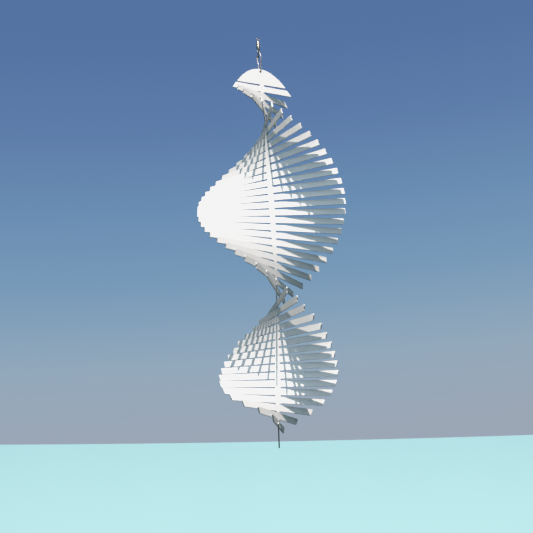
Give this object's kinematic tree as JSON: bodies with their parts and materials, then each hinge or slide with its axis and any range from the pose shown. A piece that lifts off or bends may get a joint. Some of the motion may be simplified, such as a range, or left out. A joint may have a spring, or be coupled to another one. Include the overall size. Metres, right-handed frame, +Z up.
{
  "type": "hanging helix wind spinner",
  "caption": "Hanging wind spinner: one white oval metal sheet slit into slats and twisted about its centre band into a helix, hung on a wire snap and a barrel swivel.",
  "frame": {"origin": "centre of the small flat land on the crown of the upper swivel eye, on the hanging axis", "axes": "+Z up along the hanging and spinning axis; the sheet's top cap lies in the XZ plane with its face towards -Y"},
  "size_m": [0.1577, 0.1439, 0.4338],
  "materials": {
    "white_coat": "white powder coat, low sheen, faint orange peel",
    "snap_steel": "bright drawn spring wire",
    "nickel_plate": "polished nickel plate",
    "washer_steel": "turned steel, oiled",
    "ball_steel": "polished bearing steel"
  },
  "bodies": {
    "upper_eye": {"upper_eye": "nickel_plate"},
    "barrel": {"swivel_barrel": "nickel_plate", "upper_washer": "washer_steel", "lower_washer": "washer_steel"},
    "upper_balls": {"upper_ball_1": "ball_steel", "upper_ball_2": "ball_steel", "upper_ball_3": "ball_steel", "upper_ball_4": "ball_steel", "upper_ball_5": "ball_steel", "upper_ball_6": "ball_steel", "upper_ball_7": "ball_steel", "upper_ball_8": "ball_steel"},
    "lower_balls": {"lower_ball_1": "ball_steel", "lower_ball_2": "ball_steel", "lower_ball_3": "ball_steel", "lower_ball_4": "ball_steel", "lower_ball_5": "ball_steel", "lower_ball_6": "ball_steel", "lower_ball_7": "ball_steel", "lower_ball_8": "ball_steel"},
    "lower_eye": {"lower_eye": "nickel_plate"},
    "snap": {"snap_wire": "snap_steel"},
    "rotor": {"rotor_sheet": "white_coat"}
  },
  "joints": [
    {"name": "barrel_spin", "type": "hinge", "parent": "upper_eye", "child": "barrel", "pos_m": [0, 0, -0.00905], "axis": [0, 0, 1], "continuous": true},
    {"name": "upper_race_orbit", "type": "hinge", "parent": "upper_eye", "child": "upper_balls", "pos_m": [0, 0, -0.0056], "axis": [0, 0, 1], "continuous": true},
    {"name": "eye_spin", "type": "hinge", "parent": "barrel", "child": "lower_eye", "pos_m": [0, 0, -0.01357], "axis": [0, 0, 1], "continuous": true},
    {"name": "lower_race_orbit", "type": "hinge", "parent": "barrel", "child": "lower_balls", "pos_m": [0, 0, -0.0125], "axis": [0, 0, 1], "continuous": true},
    {"name": "snap_swing", "type": "hinge", "parent": "lower_eye", "child": "snap", "pos_m": [0, 0, -0.01777], "axis": [1, 0, 0], "range_deg": [-60, 60]},
    {"name": "rotor_swing", "type": "hinge", "parent": "snap", "child": "rotor", "pos_m": [0, 0, -0.03897], "axis": [0, 1, 0], "range_deg": [-60, 60]}
  ],
  "couplings": [
    {"joint": "upper_race_orbit", "follows": "barrel_spin", "ratio": 0.5},
    {"joint": "lower_race_orbit", "follows": "eye_spin", "ratio": 0.5}
  ]
}
